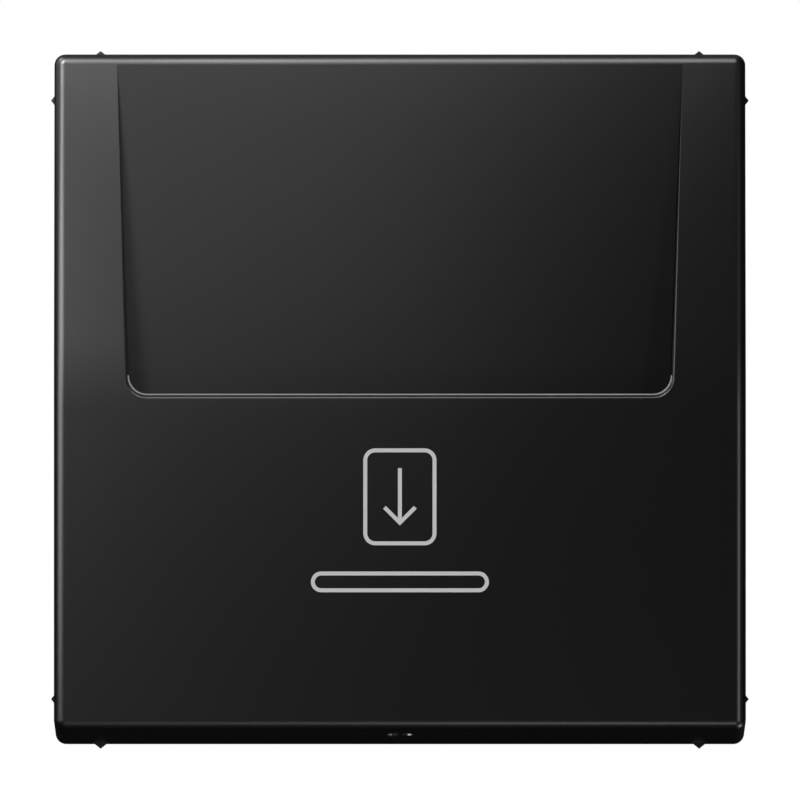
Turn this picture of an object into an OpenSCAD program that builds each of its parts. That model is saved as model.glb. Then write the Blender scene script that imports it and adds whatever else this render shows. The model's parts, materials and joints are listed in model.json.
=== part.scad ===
// Hotel key card switch: satin cover with a card slot over a flush push switch.
// Frame: the wall plane is Y = 0 and +Y runs into the wall; +X is right and +Z is up.
// Depths ("_d") are counted forwards from the front face of the support ring.

/* [Cover] */
// width of the cheek on each side of the card slot
cheek_w = 7.5; // [6.8:0.1:10]
// depth of the cover over its lower half
cover_depth = 11; // [10.7:0.1:12.5]
// rounding of the outer front edges
edge_r = 1.1; // [0.7:0.1:1.4]
// wall of the skirt
cover_wall = 2; // [1.7:0.1:2.2]
// thickness of the front plate and its lip
lip_wall = 1.8; // [1.5:0.1:2]
// thickness of the ramp above the slot
ramp_wall = 1.8; // [1.5:0.1:2]
// height at which the front starts to lean back
bend_z = 2.5; // [1:0.5:6]
// radius of that bend
bend_r = 66; // [40:2:90]
// height of the front lower edge over the rear one
rake = 1.66; // [1.2:0.02:2]
// distance of the fitting ribs from the corners
rib_from_corner = 4.5; // [4:0.1:12]
// height of the fitting ribs
rib_h = 0.45; // [0.2:0.05:0.6]
// length of the fitting ribs
rib_len = 3.5; // [2:0.5:5]

/* [Card] */
// width of the card
card_w = 54; // [53:0.1:54.4]
// play of the card on each side
card_play = 0.5; // [0.3:0.1:0.7]
// gap between lip and ramp
slot_gap = 2.2; // [2:0.1:2.4]
// height of the front edge of the lip
lip_z = 0.15; // [-0.5:0.05:0.5]
// how much wider the ramp is at the top, on each side
mouth_flare = 1.15; // [0.6:0.05:1.4]
// rounding of the lower corners of the ramp
corner_r = 1.9; // [1.2:0.1:2.4]
// draft of the side walls of the ramp
wall_draft = 3.7; // [2:0.1:5]
// thickness of the card guide
guide_t = 1.5; // [1.2:0.1:1.6]

/* [Lever and plunger] */
// height of the lever pin
pivot_z = 10; // [9:0.5:12]
// height of the nose that the card pushes back
nose_z = -14.5; // [-15.5:0.5:-13.5]
// radius of the lever pin
pin_r = 0.8; // [0.6:0.05:0.9]
// thickness of the lever arm
lever_t = 1.6; // [1.4:0.1:1.8]
// height of the plunger
plunger_z = -8; // [-9:0.5:-7.5]
// radius of the plunger head
plunger_r = 4; // [3.5:0.1:4.4]
// travel of the plunger
travel = 1.6; // [1.4:0.1:1.7]

/* [Support] */
// thickness of the support ring
ring_t = 1.2; // [1:0.1:1.3]
// thickness of the base plate
base_t = 1.6; // [1.4:0.1:1.8]
// distance between opposite box screws
box_pitch = 60; // [59.5:0.1:60.5]
// half the width of the box screw slots
slot_r = 1.75; // [1.6:0.05:1.9]
// length of the box screw slots
slot_len = 5.5; // [4.5:0.1:5.6]

/* [Switch insert] */
// width of the insert housing
housing_w = 42; // [41.6:0.1:43]
// height of the insert housing
housing_h = 46; // [45:0.1:46.2]
// depth of the insert housing
housing_depth = 22; // [21.6:0.1:26]
// thickness of the housing back
back_t = 2; // [1.6:0.1:2.4]
// distance of the wire entries from the middle
wire_x = 15.2; // [15:0.05:15.3]
// height of the wire entries
wire_z = 8; // [7.5:0.1:8.5]
// radius of the wire entries
wire_r = 1.6; // [1.3:0.05:1.65]
// thickness of the busbars
bar_t = 1; // [0.8:0.05:1]

/* [Hidden] */
$fn = 48;

// cover and card pocket
slot_half = card_w / 2 + card_play;
half = slot_half + cheek_w;
inside = half - cover_wall;
rib_at = half - rib_from_corner;
lip_d = cover_depth - lip_wall;
ramp_d = lip_d - slot_gap;
ramp_rear_d = ramp_d - ramp_wall;
ramp_end_z = -2.2;
top_d = ramp_d + 0.05;
tilt = atan((cover_depth - top_d) / (half - bend_z));
rake_a = atan(rake / cover_depth);
mouth_half = slot_half + mouth_flare;
lip_slope = 0.22;
guide_front_d = ramp_d - 0.2;
guide_rear_d = guide_front_d - guide_t;
guide_top_z = ramp_end_z - 0.2;
groove_d = guide_front_d + 1.2;
rail_d = lip_d - 0.1;
rail_t = 0.7;
stop_z = -half + 8.7;
stop_t = 1.2;

// base plate
plate_half = inside - 0.3;
hook_z = half - 17;
hook_d = 3.2;
boss_room = inside - slot_half - rail_t;
boss_x = inside - boss_room / 2;
boss_z = [guide_top_z - 5.6, stop_z + 2.3];
boss_r = boss_room / 2 - 0.3;
guide_screw_r = 0.9;
guide_head_r = boss_r - 0.2;
guide_screw_end_d = 2.2;
small_head_h = 1.1;
plate_screw_r = 1.25;
plate_head_r = 2.2;
plate_head_h = 1.3;
plate_screw_x = half - 10;
plate_screw_z = half - 13;
lock_r = 1.25;
lock_d = 6.9;
lug_low_z = -half + 3.7;
lug_top_z = -half + 6.9;

// lever
pivot_d = (base_t + ramp_rear_d) / 2;
hub_r = (ramp_rear_d - base_t) / 2 - 0.25;
hub_half = 9;
arm_half = 6;
window_half = arm_half + 0.2;
plate_window_half = arm_half + 2.4;
nose_d = lip_d - 0.3;
lever_end_z = nose_z - 3;
pad_r = 1;

// insert, as positions along Y
flange_t = 1.6;
lid_t = 1.6;
collar_y = 4;
plunger_front_y = -ring_t - 1.2;
plunger_flange_y = collar_y + 0.1;
bridge_seat_y = plunger_flange_y + 1.2;
bridge_y = bridge_seat_y + 3.3;
bridge_t = 0.8;
tip_h = 0.7;
tip_r = 1.5;
tip_x = 9.5;
bridge_half = tip_x + tip_r + 1;
bridge_side = tip_r + 1;
bar_inner_x = tip_x - tip_r - 1;
pedestal_x = bridge_half + 0.5;
pedestal_side = bridge_side - 0.2;
housing_wall = 2.2;
stem_r = 2;
clip_y = bridge_y + bridge_t;
clip_t = 0.8;
stem_end_y = clip_y + 5.6;
fixed_tip_y = clip_y + tip_h + travel + 0.06;
bar_y = fixed_tip_y + tip_h;
bar_gap = 0.9;
bar_x = housing_w / 2 - housing_wall - bar_gap - bar_t;
bar_front_y = bar_y - 2.5;
bar_rear_y = housing_depth - 4.4;
back_y = housing_depth + back_t;
rivet_x = 9;
rivet_z = housing_h / 2 + 2;
rivet_r = 1.2;
flange_r = norm([rivet_x, rivet_z]) + 1.9;
notch_half = slot_r + 1.25;
notch_z = box_pitch / 2 - slot_len / 2 - 0.25;
corner_cut = 4;
back_screw_in = 6;
back_head_r = 1.8;
post_x = 16.2;
post_z = 18.6;
clamp_x = 10.6;
clamp_y = housing_depth - 5.5;
clamp_r = 1;
clamp_t = 0.35;
clamp_turn = 42.7;
button_low_x = 9.9;
button_high_x = 12.1;
button_out = 1.2;
wire_r_outer = wire_r + 0.7;
wire_in = 4;

// springs
wire = 0.25;
return_r = 2.75;
contact_r = 3.1;
steps = 24;

black = [0.10, 0.10, 0.10];
dark = [0.17, 0.17, 0.18];
white = [0.86, 0.86, 0.83];
grey = [0.55, 0.56, 0.57];
steel = [0.72, 0.73, 0.74];
zinc = [0.78, 0.77, 0.70];
brass = [0.80, 0.63, 0.30];
silver = [0.88, 0.88, 0.86];

// Y of a depth in front of the ring
function at(d) = -ring_t - d;

module box(x0, x1, y0, y1, z0, z1) {
    translate([x0, y0, z0]) cube([x1 - x0, y1 - y0, z1 - z0]);
}

module rod_x(r, x0, x1) {
    translate([x0, 0, 0]) rotate([0, 90, 0]) cylinder(r = r, h = x1 - x0);
}

module rod_y(r, y0, y1) {
    translate([0, y1, 0]) rotate([90, 0, 0]) cylinder(r = r, h = y1 - y0);
}

// outline drawn in X and Z, given a thickness along Y
module slab_y(y0, y1) {
    translate([0, y1, 0]) rotate([90, 0, 0]) linear_extrude(y1 - y0) children();
}

// outline drawn in Y and Z, given a width along X
module slab_x(x0, x1) {
    translate([x0, 0, 0]) rotate([90, 0, 90]) linear_extrude(x1 - x0) children();
}

// the same form on the left and on the right
module both_sides() {
    children();
    mirror([1, 0, 0]) children();
}

module at_corners(x, z) {
    for (sx = [-1, 1], sz = [-1, 1])
        translate([sx * x, 0, sz * z]) children();
}

module chamfered(w, h, c) {
    polygon([
        [-w + c, -h], [w - c, -h], [w, -h + c], [w, h - c],
        [w - c, h], [-w + c, h], [-w, h - c], [-w, -h + c]
    ]);
}

// screw with its head towards -Y; the head seat is at Y = 0
module screw(r, len, head_r, head_h) {
    difference() {
        union() {
            rod_y(head_r, -head_h, 0);
            rod_y(r, -0.1, len);
        }
        box(-head_r * 0.6, head_r * 0.6, -head_h - 1, -head_h * 0.45, -0.25, 0.25);
        box(-0.25, 0.25, -head_h - 1, -head_h * 0.45, -head_r * 0.6, head_r * 0.6);
    }
}

function helix_point(r, y0, pitch, i) =
    let (a = 360 * i / steps)
    [r * cos(a), y0 + pitch * i / steps, r * sin(a)];

function helix_ring(r, y0, pitch, i) =
    let (a = 360 * i / steps)
    let (out = [cos(a), 0, sin(a)])
    let (run = [-sin(a) * 2 * PI * r, pitch, cos(a) * 2 * PI * r])
    let (side = cross(run / norm(run), out))
    [for (k = [0 : 7])
        helix_point(r, y0, pitch, i) + wire * (cos(45 * k) * out + sin(45 * k) * side)];

// least distance between one turn of the wire and the next
function coil_gap(r, y0, pitch, last) =
    min([for (i = [0 : last - steps])
        for (j = [i + steps - 6 : min(last, i + steps + 6)])
            norm(helix_point(r, y0, pitch, i) - helix_point(r, y0, pitch, j))]) - 2 * wire;

// round wire wound about the Y axis from y0 to y1
module coil(r, y0, y1, turns) {
    last = turns * steps;
    start = y0 + wire + 0.02;
    pitch = (y1 - y0 - 2 * wire - 0.04) / turns;
    rings = [for (i = [0 : last]) each helix_ring(r, start, pitch, i)];
    tube = [for (i = [0 : last - 1], k = [0 : 7])
        [i * 8 + k, i * 8 + (k + 1) % 8, (i + 1) * 8 + (k + 1) % 8, (i + 1) * 8 + k]];
    caps = [[for (k = [7 : -1 : 0]) k], [for (k = [0 : 7]) last * 8 + k]];
    echo(coil_self_gap = coil_gap(r, start, pitch, last));
    polyhedron(rings, concat(tube, caps));
}

// outside of the cover with all its front edges rounded
module cover_shape() {
    inner = half - edge_r;
    low_d = cover_depth - edge_r;
    low_z = -half + rake * low_d / cover_depth + edge_r / cos(rake_a);
    bend_low_z = bend_z - bend_r * tan(tilt / 2);
    top_edge_d = top_d + edge_r * tan(tilt) - edge_r / cos(tilt);
    hull() {
        both_sides() {
            translate([inner, at(low_d), low_z]) sphere(edge_r, $fn = 32);
            for (i = [0 : 4])
                translate([
                    inner,
                    at(cover_depth - bend_r + (bend_r - edge_r) * cos(tilt * i / 4)),
                    bend_low_z + (bend_r - edge_r) * sin(tilt * i / 4)
                ]) sphere(edge_r, $fn = 32);
            translate([inner, at(top_edge_d), inner]) sphere(edge_r, $fn = 32);
            for (z = [-inner, inner])
                translate([inner, 0, z]) rod_y(edge_r, at(0.01), at(0), $fn = 32);
        }
    }
}

// pointed ribs on the rim of the skirt
module edge_ribs() {
    root = 0.8;
    for (turn = [0 : 90 : 270], side = [-1, 1])
        rotate([0, turn, 0]) translate([side * rib_at, 0, half]) slab_y(at(rib_len), at(0))
            polygon([[-rib_h - root, -root], [rib_h + root, -root], [0, rib_h]]);
}

// corners of the recess outline at one depth
module recess_level(d) {
    out = (d - ramp_d) * tan(wall_draft);
    low_z = lip_z + (cover_depth - d) * lip_slope;
    both_sides() slab_y(at(d + 0.01), at(d)) {
        translate([slot_half + out - corner_r, low_z + corner_r]) circle(corner_r, $fn = 32);
        translate([mouth_half + out - 1, half]) square([1, 1]);
    }
}

module recess() {
    hull() {
        recess_level(ramp_d);
        recess_level(cover_depth + 0.5);
    }
}

// hollow behind the front plate, with the raked underside
module lower_hollow() {
    slab_x(-inside, inside) polygon([
        [at(-1), -inside],
        [at(0), -inside],
        [at(lip_d), -inside + rake * lip_d / cover_depth],
        [at(lip_d), ramp_end_z],
        [at(-1), ramp_end_z]
    ]);
}

// hollow inside each cheek beside the ramp
module cheek_hollow() {
    end_z = half - 7;
    slab_x(mouth_half + 1.2, inside) polygon([
        [at(ramp_rear_d - 0.1), ramp_end_z - 0.1],
        [at(lip_d), ramp_end_z - 0.1],
        [at(lip_d), bend_z - 1],
        [at(top_d + 7 * tan(tilt) - lip_wall), end_z],
        [at(ramp_rear_d - 0.1), end_z]
    ]);
}

module front_cover() {
    color(black) difference() {
        union() {
            cover_shape();
            edge_ribs();
        }
        recess();
        box(-slot_half, slot_half, at(lip_d), at(ramp_d), ramp_end_z - 0.1, lip_z + corner_r + 0.5);
        lower_hollow();
        box(-inside, inside, at(ramp_rear_d), at(-1), ramp_end_z - 0.1, inside);
        both_sides() cheek_hollow();
        for (z = [-hook_z, hook_z])
            both_sides() box(inside - 0.1, inside + 0.8, at(hook_d + 1.6), at(hook_d - 0.2), z - 3, z + 3);
        translate([0, at(lock_d), -half - 1]) cylinder(r = lock_r + 0.15, h = 5);
    }
}

module locking_screw() {
    low_z = -half + 1.8;
    color(zinc) difference() {
        translate([0, at(lock_d), low_z]) cylinder(r = lock_r, h = 5);
        box(-2, 2, at(lock_d) - 0.25, at(lock_d) + 0.25, low_z - 1, low_z + 0.8);
    }
}

module card_guide() {
    edge = slot_half + rail_t;
    low_z = stop_z - stop_t;
    color(dark) difference() {
        union() {
            box(-edge, edge, at(guide_front_d), at(guide_rear_d), low_z, guide_top_z);
            box(-edge, edge, at(rail_d), at(guide_rear_d), low_z, stop_z);
            both_sides() {
                box(slot_half, edge, at(rail_d), at(guide_rear_d), low_z, guide_top_z);
                slab_x(slot_half - 1.6, edge) polygon([
                    [at(rail_d), low_z],
                    [at(groove_d), low_z],
                    [at(groove_d), guide_top_z - 4],
                    [at(rail_d), guide_top_z - 1.5]
                ]);
                for (z = boss_z) {
                    box(slot_half, boss_x, at(guide_front_d), at(guide_rear_d), z - boss_r, z + boss_r);
                    translate([boss_x, 0, z]) rod_y(boss_r, at(guide_front_d), at(guide_rear_d));
                }
            }
        }
        box(
            -window_half, window_half, at(guide_front_d + 1),
            at(guide_rear_d - 1), nose_z - 5, nose_z + 5.6
        );
        both_sides() for (z = boss_z)
            translate([boss_x, 0, z]) rod_y(guide_screw_r + 0.15, at(guide_front_d + 1), at(0));
    }
}

module guide_screws() {
    color(zinc) both_sides() for (z = boss_z)
        translate([boss_x, at(guide_front_d), z])
            screw(guide_screw_r, guide_front_d - guide_screw_end_d, guide_head_r, small_head_h);
}

module snap_hook() {
    outer = plate_half - 0.3;
    translate([0, 0, -2.5]) linear_extrude(5) polygon([
        [plate_half - 1.5, at(base_t - 0.1)],
        [outer, at(base_t - 0.1)],
        [outer, at(hook_d)],
        [inside + 0.55, at(hook_d)],
        [inside + 0.55, at(hook_d + 0.4)],
        [outer, at(hook_d + 1.5)],
        [plate_half - 1.5, at(hook_d + 1.5)]
    ]);
}

module base_plate() {
    root_d = base_t - 0.1;
    ear_d = ramp_rear_d - 0.2;
    color(dark) difference() {
        union() {
            box(-plate_half, plate_half, at(base_t), at(0), -plate_half, plate_half);
            both_sides() {
                for (z = boss_z)
                    translate([boss_x, 0, z]) rod_y(boss_r, at(guide_rear_d), at(root_d));
                for (z = [-hook_z, hook_z])
                    translate([0, 0, z]) snap_hook();
                box(hub_half + 0.4, hub_half + 2.9, at(ear_d), at(root_d), pivot_z - 2, pivot_z + 2);
                box(4.6, 6.8, at(lock_d - 1.8), at(root_d), lug_low_z, lug_top_z);
            }
            box(-6.8, 6.8, at(lock_d + 1.9), at(lock_d - 1.9), lug_low_z, lug_top_z);
        }
        box(
            -plate_window_half, plate_window_half, at(base_t + 0.1),
            at(-1), nose_z - 6, pivot_z - 3.5
        );
        for (turn = [0 : 90 : 270])
            rotate([0, turn, 0]) box(-4.2, 4.2, at(base_t + 0.1), at(-1), box_pitch / 2 - 4.2, half);
        at_corners(plate_screw_x, plate_screw_z) rod_y(plate_screw_r + 0.15, at(base_t + 1), at(-1));
        translate([0, at(pivot_d), pivot_z]) rod_x(pin_r + 0.02, -half, half);
        translate([0, at(lock_d), lug_low_z - 1]) cylinder(r = lock_r + 0.03, h = 6);
        both_sides() for (z = boss_z)
            translate([boss_x, 0, z]) rod_y(guide_screw_r + 0.02, at(guide_rear_d + 1), at(2));
    }
}

module base_plate_screws() {
    color(zinc) at_corners(plate_screw_x, plate_screw_z)
        translate([0, at(base_t), 0]) screw(plate_screw_r, base_t + ring_t, plate_head_r, plate_head_h);
}

module card_lever() {
    arm_front_d = pivot_d + lever_t / 2;
    arm_rear_d = pivot_d - lever_t / 2;
    pad_y = plunger_front_y - 0.1 - pad_r;
    color(white) difference() {
        union() {
            translate([0, at(pivot_d), pivot_z]) rod_x(hub_r, -hub_half, hub_half);
            box(-arm_half, arm_half, at(arm_front_d), at(arm_rear_d), lever_end_z, pivot_z);
            slab_x(-arm_half + 1, arm_half - 1) polygon([
                [at(arm_front_d - 0.2), nose_z + 4.8],
                [at(guide_front_d - 0.3), nose_z + 4.2],
                [at(nose_d - 0.3), nose_z + 0.5],
                [at(nose_d), nose_z - 0.2],
                [at(nose_d), nose_z - 1.2],
                [at(nose_d - 0.4), nose_z - 1.8],
                [at(arm_front_d - 0.2), nose_z - 2.6]
            ]);
            translate([0, pad_y, plunger_z]) rod_x(pad_r, -2.5, 2.5);
            box(-2.5, 2.5, at(arm_front_d - 0.2), pad_y, plunger_z - pad_r, plunger_z + pad_r);
        }
        translate([0, at(pivot_d), pivot_z]) rod_x(pin_r + 0.05, -half, half);
    }
}

module lever_pin() {
    color(steel) translate([0, at(pivot_d), pivot_z]) rod_x(pin_r, -hub_half - 2.8, hub_half + 2.8);
}

module support_ring() {
    edge = half - 1;
    bridge = slot_len / 2 - slot_r;
    color(steel) difference() {
        slab_y(-ring_t, 0) chamfered(edge, edge, 2);
        slab_y(-ring_t - 1, 1) chamfered(15, 17, 1.5);
        for (turn = [0 : 90 : 270]) rotate([0, turn, 0]) {
            for (z = [-bridge, bridge])
                translate([0, 0, box_pitch / 2 + z]) rod_y(slot_r, -ring_t - 1, 1);
            box(-slot_r, slot_r, -ring_t - 1, 1, box_pitch / 2 - bridge, box_pitch / 2 + bridge);
        }
        at_corners(plate_screw_x, plate_screw_z) rod_y(plate_screw_r + 0.02, -ring_t - 1, 1);
        at_corners(rivet_x, rivet_z) {
            rod_y(rivet_r + 0.02, -ring_t - 1, 1);
            translate([0, -ring_t, 0]) rotate([-90, 0, 0])
                cylinder(r1 = rivet_r + 0.92, r2 = rivet_r + 0.02, h = 0.9);
        }
    }
}

module ring_rivets() {
    color(steel) at_corners(rivet_x, rivet_z) {
        translate([0, -ring_t, 0]) rotate([-90, 0, 0]) cylinder(r1 = rivet_r + 0.9, r2 = rivet_r, h = 0.9);
        rod_y(rivet_r, -ring_t + 0.1, flange_t + 0.1);
        rod_y(rivet_r + 0.5, flange_t, flange_t + 0.7);
    }
}

module insert_housing() {
    w = housing_w / 2;
    h = housing_h / 2;
    color(white) difference() {
        union() {
            slab_y(0, flange_t) difference() {
                circle(flange_r);
                for (turn = [0 : 90 : 270])
                    rotate(turn) translate([-notch_half, notch_z]) square([2 * notch_half, half]);
            }
            difference() {
                slab_y(0, housing_depth) chamfered(w, h, corner_cut);
                slab_y(lid_t, housing_depth + 1) chamfered(w - housing_wall, h - housing_wall, 3.2);
            }
            at_corners(post_x, post_z) rod_y(2.4, lid_t, housing_depth);
            both_sides() {
                box(bar_x - 0.5, w - 2, bar_front_y - 3, bar_front_y, plunger_z - 3, wire_z + 4);
                box(bar_x + bar_t, w - 2, bar_front_y - 0.1, housing_depth, -4, 4);
            }
        }
        slab_y(-1, lid_t) chamfered(w - 1.2, h - 1.2, 3.2);
        at_corners(post_x, post_z) rod_y(guide_screw_r + 0.02, housing_depth - 9, housing_depth + 1);
        at_corners(rivet_x, rivet_z) rod_y(rivet_r + 0.02, -1, flange_t + 1);
    }
}

module insert_lid() {
    color(grey) difference() {
        union() {
            slab_y(0, lid_t) chamfered(housing_w / 2 - 1.4, housing_h / 2 - 1.4, 3.2);
            translate([0, 0, plunger_z]) rod_y(plunger_r + 2.2, lid_t - 0.1, collar_y);
        }
        translate([0, 0, plunger_z]) rod_y(plunger_r + 0.06, -1, collar_y + 1);
    }
}

module housing_back() {
    color(white) difference() {
        union() {
            slab_y(housing_depth, back_y) chamfered(housing_w / 2, housing_h / 2, corner_cut);
            both_sides() {
                translate([wire_x, 0, wire_z]) rod_y(wire_r_outer, housing_depth - wire_in, back_y);
                box(
                    bar_inner_x, pedestal_x, bar_y + bar_t,
                    housing_depth + 0.1, plunger_z - pedestal_side, plunger_z + pedestal_side
                );
                box(
                    clamp_x - clamp_r - 1.4, clamp_x - clamp_r - 0.2, clamp_y - 5,
                    housing_depth + 0.1, wire_z - 2.4, wire_z + 2.4
                );
            }
            translate([0, 0, plunger_z]) difference() {
                rod_y(return_r + 1.9, housing_depth - 2, housing_depth + 0.1);
                rod_y(return_r + 0.7, housing_depth - 3, housing_depth);
            }
        }
        both_sides() {
            translate([wire_x, 0, wire_z]) rod_y(wire_r, housing_depth - wire_in - 1, back_y + 1);
            box(
                button_low_x - 0.1, button_high_x + 0.1, housing_depth - 0.1,
                back_y + 1, wire_z - 2.1, wire_z + 2.1
            );
        }
        at_corners(post_x, post_z) rod_y(guide_screw_r + 0.15, housing_depth - 1, back_y + 1);
    }
}

module back_screws() {
    color(zinc) at_corners(post_x, post_z)
        translate([0, back_y, 0]) rotate([180, 0, 0])
            screw(guide_screw_r, back_t + back_screw_in, back_head_r, small_head_h);
}

module plunger() {
    color(white) translate([0, 0, plunger_z]) {
        rod_y(plunger_r, plunger_front_y, plunger_flange_y + 0.1);
        rod_y(plunger_r + 1.6, plunger_flange_y, bridge_seat_y);
        rod_y(stem_r, bridge_seat_y - 0.1, stem_end_y);
    }
}

module return_spring() {
    color(steel) translate([0, 0, plunger_z]) coil(return_r, clip_y + clip_t, housing_depth, 8);
}

module contact_bridge() {
    color(brass) difference() {
        box(-bridge_half, bridge_half, bridge_y, clip_y, plunger_z - bridge_side, plunger_z + bridge_side);
        translate([0, 0, plunger_z]) rod_y(stem_r + 0.1, bridge_y - 1, clip_y + 1);
    }
}

module bridge_contacts() {
    color(silver) both_sides() translate([tip_x, 0, plunger_z]) rod_y(tip_r, clip_y, clip_y + tip_h);
}

module contact_spring() {
    color(steel) translate([0, 0, plunger_z]) coil(contact_r, bridge_seat_y, bridge_y, 2);
}

module bridge_clip() {
    color(steel) translate([0, 0, plunger_z]) difference() {
        rod_y(stem_r + 1.4, clip_y, clip_y + clip_t);
        rod_y(stem_r + 0.02, clip_y - 1, clip_y + clip_t + 1);
    }
}

module busbar() {
    low_z = plunger_z - bridge_side;
    color(brass) {
        box(bar_inner_x, bar_x + bar_t, bar_y, bar_y + bar_t, low_z, plunger_z + bridge_side);
        box(bar_x, bar_x + bar_t, bar_front_y, bar_rear_y, low_z, wire_z + 3);
    }
}

module line_busbar() {
    mirror([1, 0, 0]) busbar();
}

module load_busbar() {
    busbar();
}

module fixed_contacts() {
    color(silver) both_sides() translate([tip_x, 0, plunger_z]) rod_y(tip_r, fixed_tip_y, bar_y);
}

// bent leaf: a leg, a round bend and a tongue that leans towards the busbar
module clamp_spring() {
    reach = clamp_r - clamp_t;
    tongue = (bar_x - clamp_x - 1) / cos(clamp_turn);
    color(steel) translate([clamp_x, clamp_y, wire_z - 2.2]) linear_extrude(4.4) {
        translate([-clamp_r, -5.9]) square([clamp_t, 5.9]);
        intersection() {
            difference() {
                circle(clamp_r);
                circle(reach);
            }
            polygon([[0, 0], [-2, 0], [-2, 2], [2 * sin(clamp_turn), 2], 2 * [sin(clamp_turn), cos(clamp_turn)]]);
        }
        rotate(-clamp_turn) translate([0, reach]) square([tongue, clamp_t]);
    }
}

module left_clamp_spring() {
    mirror([1, 0, 0]) clamp_spring();
}

module right_clamp_spring() {
    clamp_spring();
}

module release_button() {
    nose_y = clamp_y + clamp_r;
    color(grey) {
        box(button_low_x, button_high_x, nose_y + 1, back_y + button_out, wire_z - 2, wire_z + 2);
        box(button_low_x, button_high_x, housing_depth - 1.3, housing_depth - 0.1, wire_z - 2.8, wire_z + 2.8);
        box(button_high_x - 0.9, button_high_x, nose_y, nose_y + 1.1, wire_z - 1.8, wire_z + 1.8);
    }
}

module left_release_button() {
    mirror([1, 0, 0]) release_button();
}

module right_release_button() {
    release_button();
}

front_cover();
locking_screw();
card_guide();
guide_screws();
base_plate();
base_plate_screws();
card_lever();
lever_pin();
support_ring();
ring_rivets();
insert_housing();
insert_lid();
housing_back();
back_screws();
plunger();
return_spring();
contact_bridge();
bridge_contacts();
contact_spring();
bridge_clip();
line_busbar();
load_busbar();
fixed_contacts();
left_clamp_spring();
right_clamp_spring();
left_release_button();
right_release_button();
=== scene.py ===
import json
import math

import bpy
import numpy as np
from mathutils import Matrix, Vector
from mathutils.geometry import delaunay_2d_cdt

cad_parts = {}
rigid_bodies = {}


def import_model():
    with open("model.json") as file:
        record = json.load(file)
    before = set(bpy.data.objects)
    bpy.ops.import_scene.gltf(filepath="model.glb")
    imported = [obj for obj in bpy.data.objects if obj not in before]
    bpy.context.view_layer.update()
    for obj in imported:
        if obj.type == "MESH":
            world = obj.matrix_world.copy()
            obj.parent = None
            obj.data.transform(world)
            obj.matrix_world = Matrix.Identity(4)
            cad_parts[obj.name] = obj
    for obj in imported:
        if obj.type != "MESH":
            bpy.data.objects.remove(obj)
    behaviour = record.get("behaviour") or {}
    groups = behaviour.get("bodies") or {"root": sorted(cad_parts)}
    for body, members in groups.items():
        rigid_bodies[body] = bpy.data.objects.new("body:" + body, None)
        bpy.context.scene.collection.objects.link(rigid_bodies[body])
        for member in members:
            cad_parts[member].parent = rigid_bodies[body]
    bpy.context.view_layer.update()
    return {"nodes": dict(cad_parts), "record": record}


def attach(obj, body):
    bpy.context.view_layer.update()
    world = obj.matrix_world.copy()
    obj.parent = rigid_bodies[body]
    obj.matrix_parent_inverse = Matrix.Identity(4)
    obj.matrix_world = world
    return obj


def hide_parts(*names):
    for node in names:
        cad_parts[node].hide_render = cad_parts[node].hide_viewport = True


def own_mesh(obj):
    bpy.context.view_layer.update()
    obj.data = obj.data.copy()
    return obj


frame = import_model()
nodes = frame["nodes"]

# Lengths are millimetres until a mesh is made. Depths (d) are counted forwards from the front
# face of the support ring, x runs to the right and z runs up.
MM = 0.001
RING = 1.2
HALF = 35.0
DEPTH = 11.0
EDGE_R = 1.1
INNER = HALF - EDGE_R
TOP_D = 7.55
BEND_Z = 2.5
BEND_R = 66.0
TILT = math.atan((DEPTH - TOP_D) / (HALF - BEND_Z))
BEND_LOW = BEND_Z - BEND_R * math.tan(TILT / 2)
RAKE = 1.66 / DEPTH
RAMP_D = 7.64
RAMP_REAR = 5.2
RAMP_END = -2.2
LIP_D = 9.2
LIP_Z = 0.29
LIP_SLOPE = 0.142
SLOT_HALF = 27.53
CORNER_R = 1.9
FLARE = math.radians(2.05)
DRAFT = math.tan(math.radians(0.6))
INSIDE = 33.0
RIB_AT = 30.4
RIB_H = 0.45
RIB_LEN = 1.4
HOLE_R = 1.4
HOLE_D = 6.9
HOLE_ROUND = 0.1

ARC_STEPS = 12
CORNER_STEPS = 8
HOLE_STEPS = 48
PLACES_PER_MM = 1e4  # points that round to one place are one vertex
SHORTEST = 1e-4


def at(x, z, d):
    return np.array((x, -RING - d, z), float)


def way(x, z, d):
    v = np.array((x, -d, z), float)
    return v / np.linalg.norm(v)


FORWARD = way(0, 0, 1)
BACKWARD = way(0, 0, -1)
UP = way(0, 1, 0)
UNDER = way(0, -1, RAKE)


def turn(a, b, steps):
    """Unit vectors from a to b in even steps."""
    angle = math.acos(max(-1.0, min(1.0, float(a @ b))))
    return [
        (math.sin((1 - t) * angle) * a + math.sin(t * angle) * b) / math.sin(angle)
        for t in np.linspace(0, 1, steps + 1)
    ]


def rounded(edge, first, second, r, steps):
    """Points and normals of the rounding of an edge between two faces with these normals."""
    centre = edge - r * (first + second) / (1 + first @ second)
    normals = turn(first, second, steps)
    return [centre + r * n for n in normals], normals


def ring_normals(out, along, sides):
    """Normals round a thin tube."""
    angles = np.linspace(0, 2 * math.pi, sides + 1)
    return [math.cos(a) * out + math.sin(a) * along for a in angles]


def front(z):
    """Depth of the front face at a height, and how far it leans back there."""
    lean = math.asin(max(0.0, min(math.sin(TILT), (z - BEND_LOW) / BEND_R)))
    if lean < TILT - 1e-12:
        return DEPTH - BEND_R * (1 - math.cos(lean)), lean
    return TOP_D + (HALF - z) * math.tan(TILT), TILT


def on_front(x, z):
    d, lean = front(z)
    return at(x, z, d), way(0, math.sin(lean), math.cos(lean))


def inside_loops(p, loops):
    """Even-odd test of a point in the plane."""
    hit = False
    for loop in loops:
        for a, b in zip(loop, np.roll(loop, -1, axis=0)):
            if (a[1] > p[1]) != (b[1] > p[1]):
                hit ^= p[0] < a[0] + (p[1] - a[1]) / (b[1] - a[1]) * (b[0] - a[0])
    return hit


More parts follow.
